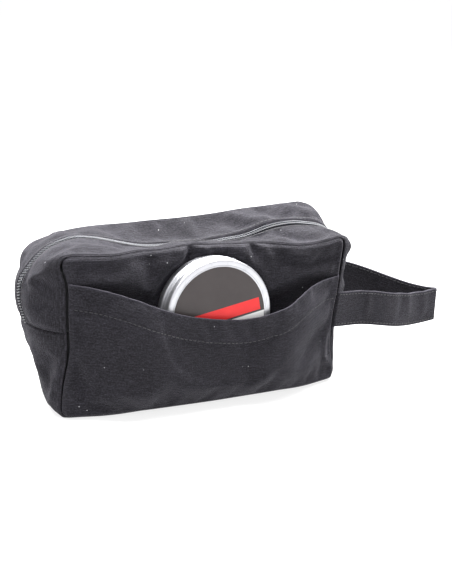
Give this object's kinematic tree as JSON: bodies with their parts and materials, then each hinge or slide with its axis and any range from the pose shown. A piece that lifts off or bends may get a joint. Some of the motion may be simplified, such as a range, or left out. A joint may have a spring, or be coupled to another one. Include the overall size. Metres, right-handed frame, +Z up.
{
  "type": "shaving kit bag",
  "caption": "Boxy soft canvas wash bag with a zipped clamshell mouth, a front patch pocket holding a round screw tin, and a side wrist strap.",
  "frame": {"origin": "middle of the base between the front and back seams, on the surface the bag stands on", "axes": "+X towards the wrist strap's end, +Y from the pocket front towards the back, +Z up"},
  "size_m": [0.3472, 0.0984, 0.1223],
  "materials": {
    "canvas": "matte plain-weave cotton canvas",
    "binding": "matte woven tape",
    "coil": "satin nylon coil",
    "zip_metal": "gunmetal plate",
    "tin_metal": "satin rolled aluminium",
    "label": "printed paper disc with one plain red band",
    "wax": "smooth set soap",
    "foam": "closed-cell liner disc"
  },
  "bodies": {
    "bag": {"front_panel": "canvas", "front_pocket": "canvas", "zip_gusset_front": "canvas", "base_gusset": "canvas", "back_panel_lower": "canvas", "seam_binding_front": "binding", "seam_binding_back_lower": "binding", "zip_tape_front": "binding", "zip_coil_front": "coil", "handle_root_front": "canvas", "handle_root_back": "canvas"},
    "back_mouth": {"back_panel_upper": "canvas", "zip_gusset_back": "canvas", "zip_tape_back": "binding", "zip_coil_back": "coil", "seam_binding_back_upper": "binding"},
    "slider": {"slider_body": "zip_metal"},
    "pull": {"pull_link": "zip_metal", "pull_tab": "zip_metal"},
    "handle": {"handle_loop": "canvas"},
    "tin": {"tin_base": "tin_metal", "tin_fill": "wax"},
    "liner": {"lid_liner": "foam"},
    "lid": {"tin_lid": "tin_metal", "lid_label": "label"}
  },
  "joints": [
    {"name": "mouth_open", "type": "hinge", "parent": "bag", "child": "back_mouth", "pos_m": [0, 0.04, 0.061], "axis": [-1, 0, 0], "range_deg": [0, 40]},
    {"name": "slider_run", "type": "slide", "parent": "bag", "child": "slider", "axis": [0.0378, 0, 0.9993], "range_m": [0, 0.018]},
    {"name": "pull_swing", "type": "hinge", "parent": "slider", "child": "pull", "pos_m": [0.12428, 0, 0.06886], "axis": [0, -1, 0], "range_deg": [0, 150]},
    {"name": "handle_swing", "type": "hinge", "parent": "bag", "child": "handle", "pos_m": [0.1275, 0, 0.058], "axis": [0, -1, 0], "range_deg": [-30, 45], "stiffness_Nm_per_rad": 0.12},
    {"name": "tin_slide", "type": "slide", "parent": "bag", "child": "tin", "axis": [0, 0, 1], "range_m": [0, 0.045]},
    {"name": "lid_rise", "type": "slide", "parent": "tin", "child": "liner", "axis": [0, -0.9986, 0.0523], "range_m": [0, 0.0018]},
    {"name": "lid_turn", "type": "hinge", "parent": "liner", "child": "lid", "pos_m": [0.001, -0.0315, 0.0663], "axis": [0, -0.9986, 0.0523], "range_deg": [0, 270]}
  ],
  "couplings": [
    {"joint": "lid_rise", "follows": "lid_turn", "m_per_rad": 0.00038197}
  ]
}
